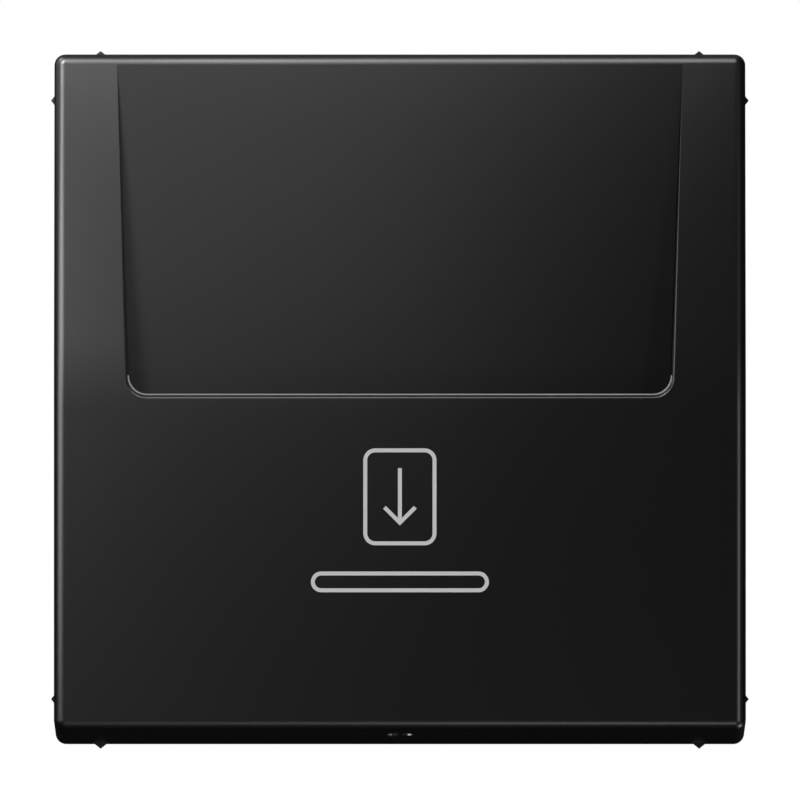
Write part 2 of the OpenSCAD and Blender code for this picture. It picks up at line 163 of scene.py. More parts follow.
class Skin:
    """Faces of one closed mesh, each corner with the normal of the surface it stands for."""

    def __init__(self):
        self.ids = {}
        self.points = []
        self.faces = []
        self.normals = []

    def vertex(self, p):
        key = tuple(int(round(c * PLACES_PER_MM)) for c in p)
        if key not in self.ids:
            self.ids[key] = len(self.points)
            self.points.append(p)
        return self.ids[key]

    def face(self, points, normals):
        ids = [self.vertex(p) for p in points]
        keep = [k for k in range(len(ids)) if ids[k] != ids[k - 1]]
        if len({ids[k] for k in keep}) < 3:
            return
        q = [points[k] for k in keep]
        around = sum(np.cross(q[k] - q[0], q[k + 1] - q[0]) for k in range(1, len(q) - 1))
        if around @ sum(normals[k] for k in keep) < 0:
            keep.reverse()
        self.faces.append([ids[k] for k in keep])
        self.normals += [normals[k] for k in keep]

    def grid(self, points, normals):
        for i in range(len(points) - 1):
            for j in range(len(points[0]) - 1):
                corners = ((i, j), (i + 1, j), (i + 1, j + 1), (i, j + 1))
                self.face([points[a][b] for a, b in corners], [normals[a][b] for a, b in corners])

    def flat(self, normal, *loops):
        """A plane region inside the first loop and outside the others."""
        u = np.cross(normal, (0.31, 0.52, 0.79))
        u /= np.linalg.norm(u)
        v = np.cross(normal, u)
        points, edges, drawn = [], [], []
        for loop in loops:
            loop = [
                p for k, p in enumerate(loop) if np.abs(p - loop[k - 1]).max() > SHORTEST
            ]
            first = len(points)
            edges += [(first + k, first + (k + 1) % len(loop)) for k in range(len(loop))]
            points += loop
            drawn.append(len(loop))
        plane = np.array([(p @ u, p @ v) for p in points])
        plane -= plane.mean(0)
        # a slight bulge keeps points along one straight side from lying in one line
        plane *= 1 - 1e-5 * (plane**2).sum(1, keepdims=True)
        loops2 = np.split(plane, np.cumsum(drawn)[:-1])
        made = delaunay_2d_cdt([Vector(p) for p in plane], edges, [], 0, 1e-9)
        for tri in made[2]:
            ids = [made[3][k][0] for k in tri]
            if inside_loops(plane[ids].mean(0), loops2):
                self.face([points[k] for k in ids], [normal] * 3)

    def piece(self, name):
        mesh = bpy.data.meshes.new(name)
        mesh.from_pydata([Vector(p) * MM for p in self.points], [], self.faces)
        mesh.shade_smooth()
        mesh.normals_split_custom_set([Vector(n) for n in self.normals])
        obj = bpy.data.objects.new(name, mesh)
        bpy.context.scene.collection.objects.link(obj)
        return obj


cover = Skin()
MEET_ROUNDS = 6


def recess_centre(d):
    """Centre of the left lower corner of the recess at one depth."""
    return np.array((
        -(SLOT_HALF - CORNER_R + (d - RAMP_D) * DRAFT),
        LIP_Z + (DEPTH - d) * LIP_SLOPE + CORNER_R,
    ))


def recess_line(angle, up=0.0, across=None):
    """One line down the recess wall: its plan point at a depth, and the wall's normal."""
    out = np.array((math.cos(angle), math.sin(angle)))
    run = np.array((-math.sin(FLARE), math.cos(FLARE)))

    def on_wall(d):
        return recess_centre(d) + CORNER_R * out + up * run

    def on_lip(d):
        centre = recess_centre(d)
        return np.array((centre[0] * (1 - 2 * across), centre[1] - CORNER_R))

    if across is None:
        spread = out @ np.array((-DRAFT, -LIP_SLOPE))
        return on_wall, way(-out[0], -out[1], spread)
    return on_lip, way(0, 1, LIP_SLOPE)


def meet_front(point):
    """Depth at which a line of the recess wall meets the front face."""
    d = DEPTH
    for _ in range(MEET_ROUNDS):
        d = front(point(d)[1])[0]
    return d


SIDE = math.pi - FLARE
BOTTOM = 1.5 * math.pi
TOP_Z = INNER + EDGE_R * math.sin(TILT)
TOP_CENTRE = front(TOP_Z)[0] - EDGE_R * math.cos(TILT)
RAMP_CENTRE = RAMP_D - EDGE_R
ROUND_FRONT = 0.26
ROUND_LIP = 0.21
ROUND_REAR = 0.16
ROUND_SHARE = 0.081  # of the wall's height, which comes to ROUND_FRONT at the corner
GROOVE_W, GROOVE_D = 0.13, 0.4
GROOVE_SHARE = 0.3
ROUND_STEPS = 6


def wall_top(point, normal, r):
    """Rounding between the front face and a line of the recess wall."""
    edge, face = on_front(*point(meet_front(point)))
    points, normals = rounded(edge, face, normal, r, ROUND_STEPS)
    points[0] = on_front(points[0][0], points[0][2])[0]
    return points, normals


def side_column(up, middle):
    """Wall beside the ramp, from the front face down to a fine groove along the ramp."""
    point, normal = recess_line(SIDE, up)
    height = meet_front(point) - RAMP_D
    points, normals = wall_top(point, normal, min(ROUND_FRONT, ROUND_SHARE * height))
    mid = RAMP_D + middle * height
    low = RAMP_D - min(GROOVE_D, GROOVE_SHARE * height)
    foot = at(*point(low), low)
    inner = foot + way(1, 0, 0) * min(GROOVE_W, GROOVE_SHARE * height)
    edge = inner + FORWARD * (RAMP_D - low)
    side = way(-1, 0, 0)
    points += [at(*point(mid), mid), foot, foot, inner, inner, edge, edge]
    return points, normals + [normal, normal, FORWARD, FORWARD, side, side, FORWARD]


def lip_column(angle, across=None):
    """Wall of the lip, from the front face to its rear face."""
    point, normal = recess_line(angle, 0.0, across)
    share = (angle - SIDE) / (BOTTOM - SIDE)
    points, normals = wall_top(point, normal, ROUND_FRONT + (ROUND_LIP - ROUND_FRONT) * share)
    rear_edge = at(*point(LIP_D), LIP_D)
    room = CORNER_R * (1 - math.cos(angle - SIDE))
    if room < 1e-9:
        rear, rear_normals = [rear_edge] * (ROUND_STEPS + 1), [normal] * (ROUND_STEPS + 1)
    else:
        r = min(ROUND_REAR, room / 2)
        rear, rear_normals = rounded(rear_edge, normal, BACKWARD, r, ROUND_STEPS)
    return points + rear, normals + rear_normals


# columns down the left wall, from the top to the corner, then round the corner to the lip
STRAIGHT_UP = 4.6  # above the corner the front face is straight from here on
STRAIGHT_ROWS, BENT_ROWS = 8, 6
BEND_COLUMNS, LIP_COLUMNS = 14, 8
corner_depth = meet_front(recess_line(SIDE)[0])
middle = (LIP_D - RAMP_D) / (corner_depth - RAMP_D)
top_depth = front(TOP_Z)[0]
top_up = (TOP_Z - recess_centre(top_depth)[1] - CORNER_R * math.sin(SIDE)) / math.cos(FLARE)
ups = list(np.linspace(top_up, STRAIGHT_UP, STRAIGHT_ROWS + 1))
ups += list(np.linspace(STRAIGHT_UP, 0, BENT_ROWS + 1))[1:]
sides = [side_column(up, middle) for up in ups]
bend_angles = np.linspace(SIDE, BOTTOM, BEND_COLUMNS + 1)
corners = [lip_column(a) for a in bend_angles]
lips = [lip_column(BOTTOM, t) for t in np.linspace(0, 1, LIP_COLUMNS + 1)[1:-1]]


def top_edge(x, sunk, angle):
    """A point of the rounded upper edge, which sinks from the front face (0) to the ramp (1)."""
    centre = TOP_CENTRE + (RAMP_CENTRE - TOP_CENTRE) * sunk
    return at(x, INNER + EDGE_R * math.sin(angle), centre + EDGE_R * math.cos(angle))


# the uppermost column is bent to the two roundings of the top edge
top_points, top_normals = sides[0]
top_sunk = [
    max(0.0, min(1.0, (top_depth + RING + p[1]) / (top_depth - RAMP_D))) for p in top_points
]
top_sunk[0], top_sunk[-1] = 0.0, 1.0
for k, sunk in enumerate(top_sunk):
    top_points[k] = top_edge(top_points[k][0], sunk, TILT * (1 - sunk))
    if k > ROUND_STEPS + 1:
        top_normals[k] = FORWARD


def mirrored(column):
    flip = np.array((-1, 1, 1))
    return [p * flip for p in column[0]], [n * flip for n in column[1]]


def strip(columns):
    cover.grid([c[0] for c in columns], [c[1] for c in columns])


right_sides = [mirrored(c) for c in sides]
right_corners = [mirrored(c) for c in corners]
strip(sides)
strip(right_sides)
strip(corners + lips + right_corners[::-1])

# the slot's side walls go on below the corner, behind the lip
slot_foot = []
for column in (sides[-1], right_sides[-1]):
    line = column[0][ROUND_STEPS + 1:]
    normals = [way(n[0], 0, -n[1]) for n in column[1][ROUND_STEPS + 1:]]
    low = []
    for p in line:
        down = np.array((math.copysign(math.tan(FLARE), -p[0]), 0, 1))
        low.append(p - down * (p[2] - RAMP_END))
    cover.grid([line, low], [normals, normals])
    slot_foot.append(low)

# front face: cheek rows beside the recess, then whole rows below it
CHEEK_COLUMNS = 6
PLATE_ROWS = (-9.0, -17.0, -25.0)
LOW_Z = -HALF + RAKE * (DEPTH - EDGE_R) + EDGE_R * math.hypot(1, RAKE)
edge_line = [c[0][0] for c in sides] + [c[0][0] for c in corners[1:]]
CHEEK_END = BEND_LOW + 0.4
outer_z = [p[2] for p in edge_line[:len(sides)]]
outer_z += list(np.linspace(outer_z[-1], CHEEK_END, len(corners)))[1:]


def cheek_row(outer, p):
    across = np.linspace(0, 1, CHEEK_COLUMNS + 1)
    return [(-INNER + t * (p[0] + INNER), outer + t * (p[2] - outer)) for t in across]


def face_rows(rows):
    made = [[on_front(x, z) for x, z in row] for row in rows]
    cover.grid([[p for p, _ in row] for row in made], [[n for _, n in row] for row in made])


cheek_rows = [cheek_row(z, p) for z, p in zip(outer_z, edge_line)]
for flip in (1, -1):
    face_rows([[(flip * x, z) for x, z in row] for row in cheek_rows])

lip_row = cheek_rows[-1] + [(c[0][0][0], c[0][0][2]) for c in lips]
lip_row += [(-x, z) for x, z in cheek_rows[-1][::-1]]
whole = [lip_row, [(x, (z + BEND_LOW) / 2) for x, z in lip_row]]
whole += [[(x, z) for x, _ in lip_row] for z in (BEND_LOW, *PLATE_ROWS, LOW_Z)]
face_rows(whole)
outer_z += [row[0][1] for row in whole[1:]]

# rounded left and right edges
side_ends = {}
for sign in (-1, 1):
    points, normals = [], []
    for z in outer_z:
        d, lean = front(z)
        face = way(0, math.sin(lean), math.cos(lean))
        turned = turn(face, way(sign, 0, 0), ARC_STEPS)
        centre = at(sign * INNER, z, d) - EDGE_R * face
        points.append([centre + EDGE_R * n for n in turned])
        normals.append(turned)
    cover.grid(points, normals)
    side_ends[sign] = [row[-1] for row in points]

# rounded lower edge
bottom_x = [x for x, _ in whole[-1]]
turned = turn(FORWARD, UNDER, ARC_STEPS)
points = [[at(x, LOW_Z, DEPTH) + EDGE_R * (n - FORWARD) for n in turned] for x in bottom_x]
cover.grid(points, [turned] * len(bottom_x))
bottom_ends = [row[-1] for row in points]

# rounded upper edge, over the cheeks and the ramp
RAMP_COLUMNS = 8
left_half = [(x, 0.0, way(0, math.sin(TILT), math.cos(TILT))) for x, _ in cheek_rows[0][:-1]]
left_half += [(p[0], sunk, n) for p, sunk, n in zip(top_points, top_sunk, top_normals)]
ramp_x = np.linspace(left_half[-1][0], -left_half[-1][0], RAMP_COLUMNS + 1)
stations = left_half + [(x, 1.0, FORWARD) for x in ramp_x[1:-1]]
stations += [(-x, sunk, n * np.array((-1, 1, 1))) for x, sunk, n in left_half[::-1]]
points, normals = [], []
for x, sunk, n in stations:
    start = TILT * (1 - sunk)
    column, column_normals = [], []
    for angle in np.linspace(start, math.pi / 2, ARC_STEPS + 1):
        c, t = math.cos(angle - start), math.sin(angle - start)
        column.append(top_edge(x, sunk, angle))
        column_normals.append(way(n[0], n[2] * c - n[1] * t, -n[2] * t - n[1] * c))
    points.append(column)
    normals.append(column_normals)
cover.grid(points, normals)
top_ends = [row[-1] for row in points]

# ramp
ramp_rows = []
for left in [c[0][-1] for c in sides] + [slot_foot[0][-1]]:
    row_x = np.linspace(left[0], -left[0], RAMP_COLUMNS + 1)
    ramp_rows.append([at(x, left[2], RAMP_D) for x in row_x])
cover.grid(ramp_rows, [[FORWARD] * (RAMP_COLUMNS + 1)] * len(ramp_rows))

# ball corners, and the rounded upright edges behind them
rim_corner = {}
for sign in (-1, 1):
    side = way(sign, 0, 0)
    for high in (True, False):
        face = way(0, math.sin(TILT), math.cos(TILT)) if high else FORWARD
        end = UP if high else UNDER
        z, d = (INNER, TOP_CENTRE) if high else (LOW_Z, DEPTH - EDGE_R)
        centre = at(sign * INNER, z, d)
        back = BACKWARD if high else way(0, -RAKE, -1)
        round_corner = turn(side, end, CORNER_STEPS)
        normals = [turn(face, n, ARC_STEPS) for n in round_corner]
        cover.grid([[centre + EDGE_R * n for n in row] for row in normals], normals)
        upper = [centre + EDGE_R * n for n in round_corner]
        lower = [p + back * (p[1] + RING) / -back[1] for p in upper]
        cover.grid([upper, lower], [round_corner, round_corner])
        rim_corner[sign, high] = lower

# small ribs round the rim, wider to each side than they are high
RIB_SPREAD = 1.25
ribs = {}
for name, along, out, slope in (
    ("left", way(0, 1, 0), way(-1, 0, 0), 0.0),
    ("right", way(0, 1, 0), way(1, 0, 0), 0.0),
    ("top", way(1, 0, 0), way(0, 1, 0), 0.0),
    ("bottom", way(1, 0, 0), way(0, -1, 0), RAKE),
):
    ribs[name] = []
    for place in (-RIB_AT, RIB_AT):
        near, far = [], []
        for d, line in ((0.0, near), (RIB_LEN, far)):
            base = HALF - slope * d
            width = RIB_SPREAD * (HALF + RIB_H - base)
            for t, o in ((-width, base), (0.0, HALF + RIB_H), (width, base)):
                line.append(along * (place + t) + out * o + at(0, 0, d))
        for a, b, tip in ((0, 1, -along), (1, 2, along)):
            slant = (RIB_SPREAD * out + tip) / math.hypot(RIB_SPREAD, 1)
            cover.face([near[a], near[b], far[b], far[a]], [slant] * 4)
        cover.face(far, [FORWARD] * 3)
        ribs[name].append((near, far))


def rim_line(name):
    """Points along a rim with its ribs, from low to high: for the side and for the rim face."""
    side, rim = [], []
    for near, far in ribs[name]:
        side += [near[0], far[0], far[2], near[2]]
        rim += near
    return side, rim


left_side, left_rim = rim_line("left")
right_side, right_rim = rim_line("right")
top_side, top_rim = rim_line("top")
low_side, low_rim = rim_line("bottom")
tl, tr = rim_corner[-1, True], rim_corner[1, True]
bl, br = rim_corner[-1, False], rim_corner[1, False]

# flat sides, and the hole for the locking screw in the underside
cover.flat(way(-1, 0, 0), side_ends[-1] + [bl[0]] + left_side + [tl[0]])
cover.flat(way(1, 0, 0), side_ends[1] + [br[0]] + right_side + [tr[0]])
cover.flat(UP, top_ends + [tr[-1]] + top_side[::-1] + [tl[-1]])
hole, hole_normals = [], []
for a in np.linspace(0, 2 * math.pi, HOLE_STEPS + 1):
    x, d = HOLE_R * math.cos(a), HOLE_D + HOLE_R * math.sin(a)
    toward = way(-math.cos(a), 0, -math.sin(a))
    points, normals = rounded(at(x, -HALF + RAKE * d, d), UNDER, toward, HOLE_ROUND, ROUND_STEPS)
    hole.append(points + [at(x, -INSIDE + RAKE * d, d)])
    hole_normals.append(normals + [toward])
cover.grid(hole, hole_normals)
cover.flat(UNDER, bottom_ends + [br[-1]] + low_side[::-1] + [bl[-1]], [c[0] for c in hole[:-1]])

# rim and hollow inside
low_in = -INSIDE + RAKE * LIP_D
rim_inner = [at(x * INSIDE, z * INSIDE, 0) for x, z in ((-1, 1), (1, 1), (1, -1), (-1, -1))]
rim_outer = tl + top_rim + tr[::-1] + right_rim[::-1]
rim_outer += br + low_rim[::-1] + bl[::-1] + left_rim
cover.flat(BACKWARD, rim_outer, rim_inner)
cover.flat(BACKWARD, [
    at(-INSIDE, INSIDE, RAMP_REAR), at(INSIDE, INSIDE, RAMP_REAR),
    at(INSIDE, RAMP_END, RAMP_REAR), at(-INSIDE, RAMP_END, RAMP_REAR),
])
cover.flat(way(0, -1, 0), [
    at(-INSIDE, INSIDE, 0), at(INSIDE, INSIDE, 0),
    at(INSIDE, INSIDE, RAMP_REAR), at(-INSIDE, INSIDE, RAMP_REAR),
])
for sign in (-1, 1):
    cover.flat(way(-sign, 0, 0), [
        at(sign * INSIDE, z, d) for z, d in (
            (INSIDE, 0), (INSIDE, RAMP_REAR), (RAMP_END, RAMP_REAR),
            (RAMP_END, LIP_D), (low_in, LIP_D), (-INSIDE, 0),
        )
    ])
slot_left, slot_right = slot_foot
cover.flat(way(0, -1, 0), [
    at(-INSIDE, RAMP_END, RAMP_REAR), at(-INSIDE, RAMP_END, LIP_D),
    *slot_left, *ramp_rows[-1][1:-1], *slot_right[::-1],
    at(INSIDE, RAMP_END, LIP_D), at(INSIDE, RAMP_END, RAMP_REAR),
])
rear_line = [c[0][-1] for c in corners + lips + right_corners[::-1]]
cover.flat(BACKWARD, [
    at(-INSIDE, low_in, LIP_D), at(-INSIDE, RAMP_END, LIP_D),
    slot_left[0], *rear_line, slot_right[0],
    at(INSIDE, RAMP_END, LIP_D), at(INSIDE, low_in, LIP_D),
])
cover.flat(-UNDER, [
    at(-INSIDE, -INSIDE, 0), at(INSIDE, -INSIDE, 0),
    at(INSIDE, low_in, LIP_D), at(-INSIDE, low_in, LIP_D),
], [c[-1] for c in hole[:-1]])

cover_piece = cover.piece("satin_cover")
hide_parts("front_cover")
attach(cover_piece, "fixed_parts")

# thin bead along the rear edge of the lip, thicker round the corners; its light grey is a painted
# highlight along the lip's edge, and the thicker corners make that painted highlight brighter round
# them
HIGHLIGHT_BEAD_D = 9.3
HIGHLIGHT_BEAD_R = 0.09
HIGHLIGHT_BEAD_END, HIGHLIGHT_BEAD_GROWTH = 0.8, 0.2
HIGHLIGHT_BEAD_CORNER = 0.7
HIGHLIGHT_BEAD_SIDES = 10
HIGHLIGHT_BEAD_COLUMNS = 40
left_path = [recess_line(a)[0](HIGHLIGHT_BEAD_D) for a in bend_angles]
lip_shares = np.linspace(0, 1, HIGHLIGHT_BEAD_COLUMNS + 1)[1:-1]
lip_path = [recess_line(BOTTOM, 0.0, t)[0](HIGHLIGHT_BEAD_D) for t in lip_shares]
path = np.array(left_path + lip_path + [p * (-1, 1) for p in left_path[::-1]])
along = np.gradient(path, axis=0)
along /= np.linalg.norm(along, axis=1, keepdims=True)
painted_highlight_bead = Skin()
points, normals = [], []
for k, (p, t) in enumerate(zip(path, along)):
    out = way(-t[1], t[0], 0)
    from_end = min(k, len(path) - 1 - k)
    r = HIGHLIGHT_BEAD_R * min(1.0, HIGHLIGHT_BEAD_END + HIGHLIGHT_BEAD_GROWTH * from_end) * (1 + HIGHLIGHT_BEAD_CORNER * abs(t[1]))
    ring = ring_normals(out, FORWARD, HIGHLIGHT_BEAD_SIDES)
    points.append([at(*p, HIGHLIGHT_BEAD_D) + r * n for n in ring])
    normals.append(ring)
painted_highlight_bead.grid(points, normals)
for end, sign in ((0, -1), (-1, 1)):
    cap = way(*(sign * along[end]), 0)
    painted_highlight_bead.face(points[end][:-1], [cap] * HIGHLIGHT_BEAD_SIDES)
painted_highlight_bead_piece = painted_highlight_bead.piece("slot_highlight_bead")
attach(painted_highlight_bead_piece, "fixed_parts")

# metal bushing in the hole for the locking screw, cut off along the raked underside
BUSHING_OUT, BUSHING_IN = 1.385, 1.27
BUSHING_SINK = 0.02
BUSHING_TOP = -33.3
BUSHING_EDGE = 0.05
bushing = Skin()


def bushing_point(r, a, up):
    d = HOLE_D + r * math.sin(a)
    low = -HALF + RAKE * d + BUSHING_SINK
    return at(r * math.cos(a), BUSHING_TOP if up is None else low + up, d)


# each face of the ring: radius, height and slope of its normal
profile = [
    (BUSHING_OUT, None, 1, 0),
    (BUSHING_OUT, BUSHING_EDGE, 1, -1),
    (BUSHING_OUT - BUSHING_EDGE, 0, 0, -1),
    (BUSHING_IN + BUSHING_EDGE, 0, -1, -1),
    (BUSHING_IN, BUSHING_EDGE, -1, 0),
    (BUSHING_IN, None, 0, 1),
]
for k, (r, up, out, down) in enumerate(profile):
    r_next, up_next = profile[(k + 1) % len(profile)][:2]
    points, normals = [], []
    for a in np.linspace(0, 2 * math.pi, HOLE_STEPS + 1):
        points.append([bushing_point(r, a, up), bushing_point(r_next, a, up_next)])
        normals.append([way(out * math.cos(a), down, out * math.sin(a))] * 2)
    bushing.grid(points, normals)
bushing_piece = bushing.piece("lock_bushing")
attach(bushing_piece, "fixed_parts")

# printed sign: a card outline with an arrow into the slot, and an outlined bar below it
PRINT_LOW = DEPTH - 0.02
PRINT_TOP = DEPTH + 0.015
PRINT_LINE = 0.4
CARD_W, CARD_H, CARD_R, CARD_Z = 7.4, 9.8, 1.2, -9.8
BAR_W, BAR_H, BAR_Z = 18.0, 2.1, -18.4
BAR_R = BAR_H / 2 - 0.001
sign_print = Skin()


def round_box(w, h, r, z, x=0.0, steps=10):
    """Outline of a box with rounded corners, counter-clockwise."""
    loop = []
    for k, (sx, sz) in enumerate(((1, 1), (-1, 1), (-1, -1), (1, -1))):
        corner_x, corner_z = x + sx * (w / 2 - r), z + sz * (h / 2 - r)
        for a in np.linspace(0, math.pi / 2, steps + 1) + k * math.pi / 2:
            loop.append((corner_x + r * math.cos(a), corner_z + r * math.sin(a)))
    return loop


def extruded(skin, place, low, high, outer, *holes):
    """A plate between two levels of a plane, inside one outline and outside the others."""
    loops = [outer, *holes]
    origin = place(0, 0, 0)
    across, along, out = place(1, 0, 0) - origin, place(0, 1, 0) - origin, place(0, 0, 1) - origin
    for level, normal in ((high, out), (low, -out)):
        skin.flat(normal, *[[place(a, b, level) for a, b in loop] for loop in loops])
    for n, loop in enumerate(loops):
        for (a0, b0), (a1, b1) in zip(loop, loop[1:] + loop[:1]):
            length = math.hypot(a1 - a0, b1 - b0)
            if length > SHORTEST:
                side = ((b1 - b0) * across + (a0 - a1) * along) / length * (1 if n == 0 else -1)
                lower = [place(a0, b0, low), place(a1, b1, low)]
                skin.face([*lower, place(a1, b1, high), place(a0, b0, high)], [side] * 4)


def printed(outer, *holes):
    extruded(sign_print, at, PRINT_LOW, PRINT_TOP, outer, *holes)


def printed_outline(w, h, r, z):
    line = PRINT_LINE
    printed(round_box(w, h, r, z), round_box(w - 2 * line, h - 2 * line, r - line, z))


printed_outline(CARD_W, CARD_H, CARD_R, CARD_Z)
printed_outline(BAR_W, BAR_H, BAR_R, BAR_Z)
ARROW_TOP, ARROW_TIP, ARROW_ARM = CARD_Z + 2.9, CARD_Z - 2.9, 1.7
arm_step = PRINT_LINE / math.sqrt(2)
half_arrow = [
    (PRINT_LINE / 2, ARROW_TOP),
    (PRINT_LINE / 2, ARROW_TIP + PRINT_LINE / 2 + PRINT_LINE * math.sqrt(2)),
    (ARROW_ARM - arm_step, ARROW_TIP + ARROW_ARM + arm_step),
    (ARROW_ARM, ARROW_TIP + ARROW_ARM),
    (0, ARROW_TIP),
]
printed([(-x, z) for x, z in half_arrow[:-1]] + half_arrow[::-1])
print_piece = sign_print.piece("slot_sign")
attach(print_piece, "fixed_parts")

# moulded details of the housing; their feet are sunk a little into its walls
HOUSING_X, HOUSING_Z, BACK_Y = 21.0, 23.0, 24.0
SINK = -0.2
WIRE_X, WIRE_Z = 15.2, 8.0
moulded = []


def mould(skin, name):
    piece = skin.piece(name)
    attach(piece, "fixed_parts")
    moulded.append(piece)


def on_back(a, b, w):
    return np.array((a, BACK_Y + w, b), float)


def beside(sign):
    return lambda a, b, w: np.array((sign * (HOUSING_X + w), a, b), float)


def above(sign):
    return lambda a, b, w: np.array((b, a, sign * (HOUSING_Z + w)), float)


def bar(x0, z0, x1, z1, w, steps=6):
    """Outline of a straight line of this width with round ends."""
    heading = math.atan2(z1 - z0, x1 - x0)
    loop = []
    for x, z, start in ((x1, z1, -math.pi / 2), (x0, z0, math.pi / 2)):
        for a in np.linspace(start, start + math.pi, steps + 1) + heading:
            loop.append((x + w / 2 * math.cos(a), z + w / 2 * math.sin(a)))
    return loop


def circle(x, z, r, steps):
    angles = np.linspace(0, 2 * math.pi, steps + 1)[:-1]
    return [(x + r * math.cos(a), z + r * math.sin(a)) for a in angles]


# pads round the wire entries and release buttons
PAD_H = 0.45
PAD_X, BUTTON_X = 13.7, 11.0
PAD_SIZE, BUTTON_SIZE = (10.2, 7.0, 1.3), (2.8, 4.6, 0.3)
ENTRY_R = 2.0
for name, sign in (("left_terminal_pad", -1), ("right_terminal_pad", 1)):
    pad = Skin()
    extruded(
        pad, on_back, SINK, PAD_H,
        round_box(*PAD_SIZE, WIRE_Z, sign * PAD_X),
        circle(sign * WIRE_X, WIRE_Z, ENTRY_R, 40),
        round_box(*BUTTON_SIZE, WIRE_Z, sign * BUTTON_X, 3),
    )
    mould(pad, name)

# plain contact diagram between the terminals, and a gauge for the bare wire's length
LINE_H, GAUGE_H = 0.25, 0.3
LINE_W, WIRE_W = 0.5, 0.8
CONTACT_LINES = (-8.0, 8.0, -3.4, 8.0), (3.4, 8.0, 8.0, 8.0), (-2.3, 8.5, 2.6, 10.9)
CONTACT_X, CONTACT_OUT, CONTACT_IN = 2.8, 0.65, 0.3
GAUGE_Z = -11.0
GAUGE_OUT, GAUGE_IN, GAUGE_END = (16.0, 4.4, 1.0), (15.0, 3.4, 0.6), (3.6, 1.9, 0.3)
GAUGE_END_X, BARE_FROM, BARE_TO = -4.6, -2.9, 5.8
diagram = Skin()
for line in CONTACT_LINES:
    extruded(diagram, on_back, SINK, LINE_H, bar(*line, LINE_W))
for x in (-CONTACT_X, CONTACT_X):
    extruded(
        diagram, on_back, SINK, LINE_H,
        circle(x, WIRE_Z, CONTACT_OUT, 20), circle(x, WIRE_Z, CONTACT_IN, 12),
    )
extruded(
    diagram, on_back, SINK, GAUGE_H, round_box(*GAUGE_OUT, GAUGE_Z), round_box(*GAUGE_IN, GAUGE_Z)
)
extruded(diagram, on_back, SINK, GAUGE_H, round_box(*GAUGE_END, GAUGE_Z, GAUGE_END_X))
extruded(diagram, on_back, SINK, LINE_H, bar(BARE_FROM, GAUGE_Z, BARE_TO, GAUGE_Z, WIRE_W))
mould(diagram, "back_diagram")

# ribs along the walls
WALL_RIB_Y, WALL_RIB_H = 11.5, 0.5
WALL_RIB_SIZE = (16.0, 1.2, 0.55)
wall_ribs = Skin()
for sign in (-1, 1):
    for place, stations in ((beside(sign), (-14.5, 0.0, 14.5)), (above(sign), (-13.0, 13.0))):
        for station in stations:
            outline = round_box(*WALL_RIB_SIZE, station, WALL_RIB_Y)
            extruded(wall_ribs, place, SINK, WALL_RIB_H, outline)
mould(wall_ribs, "wall_ribs")

# snap straps of the back plate and the hooks that hold them
STRAP_Z, STRAP_H = 7.2, 0.8
STRAP_Y, STRAP_SIZE = 19.5, (9.0, 5.4, 0.6)
WINDOW_Y, WINDOW_SIZE = 18.2, (3.0, 3.2, 0.4)
HOOK_HALF = 1.35
HOOK_WEDGE = [(17.0, SINK), (19.6, SINK), (17.6, 0.7), (17.0, 0.7)]
straps, hooks = Skin(), Skin()
for sign in (-1, 1):
    for z in (-STRAP_Z, STRAP_Z):
        extruded(
            straps, beside(sign), SINK, STRAP_H,
            round_box(*STRAP_SIZE, z, STRAP_Y), round_box(*WINDOW_SIZE, z, WINDOW_Y),
        )
        extruded(
            hooks, lambda a, b, w: np.array((sign * (HOUSING_X + b), a, z + w), float),
            -HOOK_HALF, HOOK_HALF, HOOK_WEDGE,
        )
mould(straps, "snap_straps")
mould(hooks, "snap_hooks")

# springs drawn in place of the plunger's spring and the release buttons' clamp springs
springs = []


def sprung(skin, name, node):
    """A spring in place of a node."""
    piece = skin.piece(name)
    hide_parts(node)
    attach(piece, "fixed_parts")
    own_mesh(piece)
    springs.append(piece)


COIL_R, COIL_WIRE, COIL_TURNS = 2.75, 0.25, 8
COIL_STEPS, COIL_SIDES = 40, 12
COIL_FRONT, COIL_REAR, COIL_SEAT, COIL_Z = 10.47, 21.73, 22.0, -8.0
coil = Skin()
points, normals = [], []
for k in range(COIL_TURNS * COIL_STEPS + 1):
    a = 2 * math.pi * k / COIL_STEPS
    out = np.array((math.cos(a), 0, math.sin(a)))
    y = COIL_FRONT + (COIL_REAR - COIL_FRONT) * k / (COIL_TURNS * COIL_STEPS)
    centre = COIL_R * out + np.array((0, y, COIL_Z))
    ring = ring_normals(out, BACKWARD, COIL_SIDES)
    points.append([centre + COIL_WIRE * n for n in ring])
    normals.append(ring)
coil.grid(points, normals)
for end, cap in ((0, way(0, -1, 0)), (-1, way(0, 1, 0))):
    coil.face(points[end][:-1], [cap] * COIL_SIDES)
sprung(
    coil, "coil_spring", "return_spring",
)

